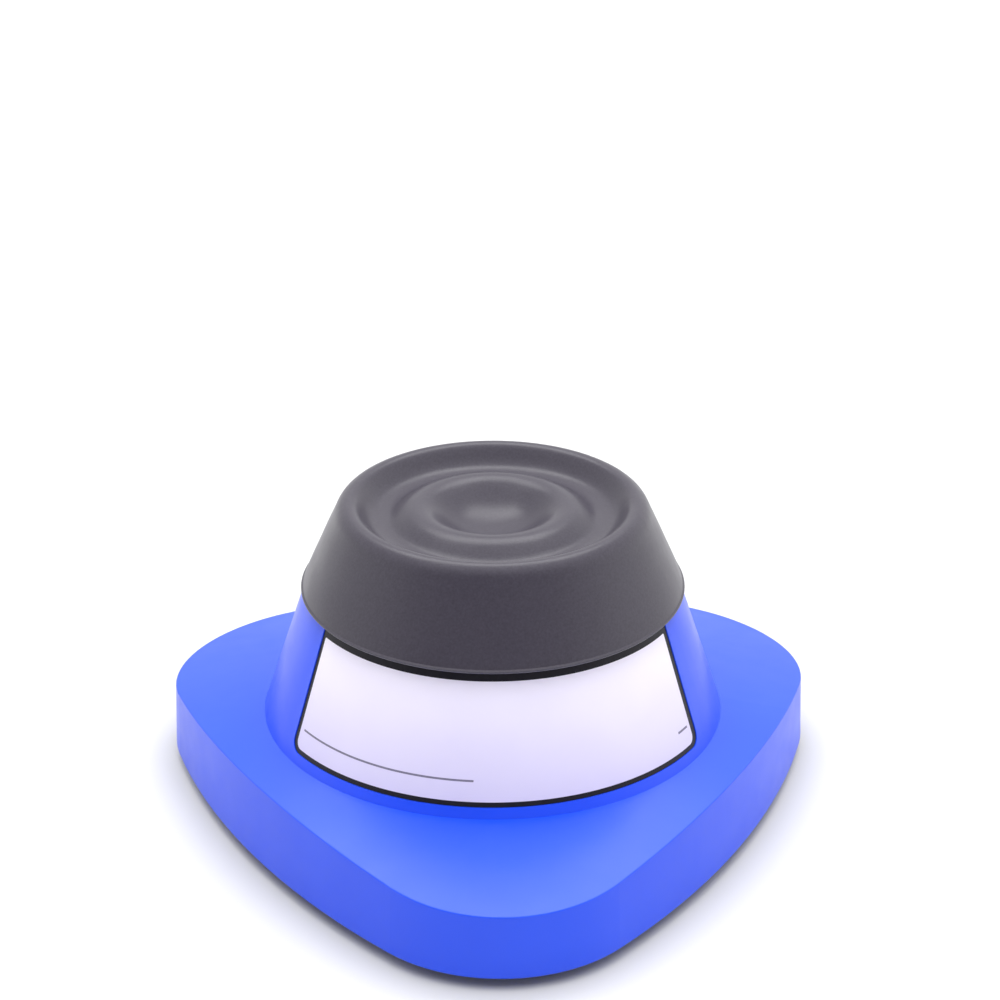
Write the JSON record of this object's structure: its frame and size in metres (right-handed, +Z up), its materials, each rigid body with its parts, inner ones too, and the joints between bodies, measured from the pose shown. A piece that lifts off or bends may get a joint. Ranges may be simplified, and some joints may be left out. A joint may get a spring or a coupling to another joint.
{
  "type": "vortex mixer",
  "caption": "Touch-operated laboratory vortex mixer: rounded-triangle housing with a cone, and a rubber cup that an eccentric motor drive orbits when it is pressed.",
  "frame": {"origin": "bottom centre of the bounding box, on the surface that the feet stand on", "axes": "+Z up; the label faces -Y, the power socket faces +Y; +X is to the right seen from the label side"},
  "size_m": [0.1574, 0.1514, 0.08],
  "materials": {
    "housing_blue": "satin moulded ABS",
    "label_pale": "semi-gloss film with dark border",
    "base_plastic": "fine moulded texture",
    "cup_rubber": "matt moulded rubber",
    "foot_rubber": "matt silicone",
    "grommet_rubber": "matt",
    "ballast_iron": "black oxide plate",
    "screw_steel": "zinc plated",
    "ground_steel": "ground",
    "zinc_steel": "zinc plated sheet",
    "plate_aluminium": "milled",
    "nylon": "natural nylon",
    "switch_plastic": "moulded",
    "magnet_ferrite": "sintered",
    "copper_alloy": "bare",
    "wire_cover": "PVC"
  },
  "bodies": {
    "housing": {"housing_shell": "housing_blue", "front_label": "label_pale", "base_plate": "base_plastic", "ballast_plate": "ballast_iron", "ballast_screws": "screw_steel", "housing_screws": "screw_steel", "suction_feet": "foot_rubber", "guide_posts": "ground_steel", "post_washers": "screw_steel", "post_screws": "screw_steel", "support_springs": "ground_steel", "switch_body": "switch_plastic", "switch_terminals": "copper_alloy", "switch_bracket": "zinc_steel", "switch_screws": "screw_steel", "bracket_screws": "screw_steel", "dc_jack": "switch_plastic", "jack_pin": "copper_alloy", "jack_nut": "screw_steel", "jack_terminals": "copper_alloy", "lead_jack_switch": "wire_cover", "lead_switch_motor": "wire_cover", "lead_jack_motor": "wire_cover"},
    "carrier": {"motor_carrier": "plate_aluminium", "stay_grommets": "grommet_rubber", "motor_can": "zinc_steel", "motor_end_cap": "nylon", "motor_bushings": "copper_alloy", "motor_magnets": "magnet_ferrite", "motor_brushes": "magnet_ferrite", "motor_terminals": "copper_alloy", "motor_screws": "screw_steel"},
    "rotor": {"motor_shaft": "ground_steel", "armature_core": "zinc_steel", "armature_windings": "copper_alloy", "commutator": "copper_alloy", "eccentric_hub": "ground_steel", "counterweight": "ground_steel", "grub_screw": "screw_steel", "bearing_inner_ring": "ground_steel", "bearing_washer": "screw_steel", "bearing_screw": "screw_steel"},
    "ball_set": {"bearing_balls": "ground_steel", "bearing_cage": "nylon"},
    "cup": {"cup_hub": "nylon", "stay_pins": "ground_steel", "bearing_outer_ring": "ground_steel", "rubber_cup": "cup_rubber"},
    "plunger": {"switch_plunger": "nylon"},
    "lever": {"switch_lever": "zinc_steel"}
  },
  "joints": [
    {"name": "cup_press", "type": "slide", "parent": "housing", "child": "carrier", "axis": [0, 0, -1], "range_m": [0, 0.0008], "stiffness_N_per_m": 3000, "springref_m": -0.0015, "deforming": ["support_springs", "lead_switch_motor", "lead_jack_motor"]},
    {"name": "rotor_spin", "type": "hinge", "parent": "carrier", "child": "rotor", "pos_m": [0, 0.00969, 0.053], "axis": [0, 0, 1], "continuous": true},
    {"name": "cup_orbit", "type": "hinge", "parent": "rotor", "child": "cup", "pos_m": [0, 0.00769, 0.0625], "axis": [0, 0, 1], "continuous": true},
    {"name": "ball_roll", "type": "hinge", "parent": "rotor", "child": "ball_set", "pos_m": [0, 0.00769, 0.0625], "axis": [0, 0, 1], "continuous": true},
    {"name": "lever_tilt", "type": "hinge", "parent": "housing", "child": "lever", "pos_m": [-0.02275, 0.01769, 0.0431], "axis": [1, 0, 0], "range_deg": [0, 3.6]},
    {"name": "plunger_push", "type": "slide", "parent": "housing", "child": "plunger", "axis": [0, 0, -1], "range_m": [0, 0.00035]}
  ],
  "couplings": [
    {"joint": "cup_orbit", "follows": "rotor_spin", "ratio": -1},
    {"joint": "ball_roll", "follows": "rotor_spin", "ratio": -0.63227},
    {"joint": "lever_tilt", "follows": "cup_press", "rad_per_m": 76.923},
    {"joint": "plunger_push", "follows": "cup_press", "ratio": 0.38462}
  ]
}
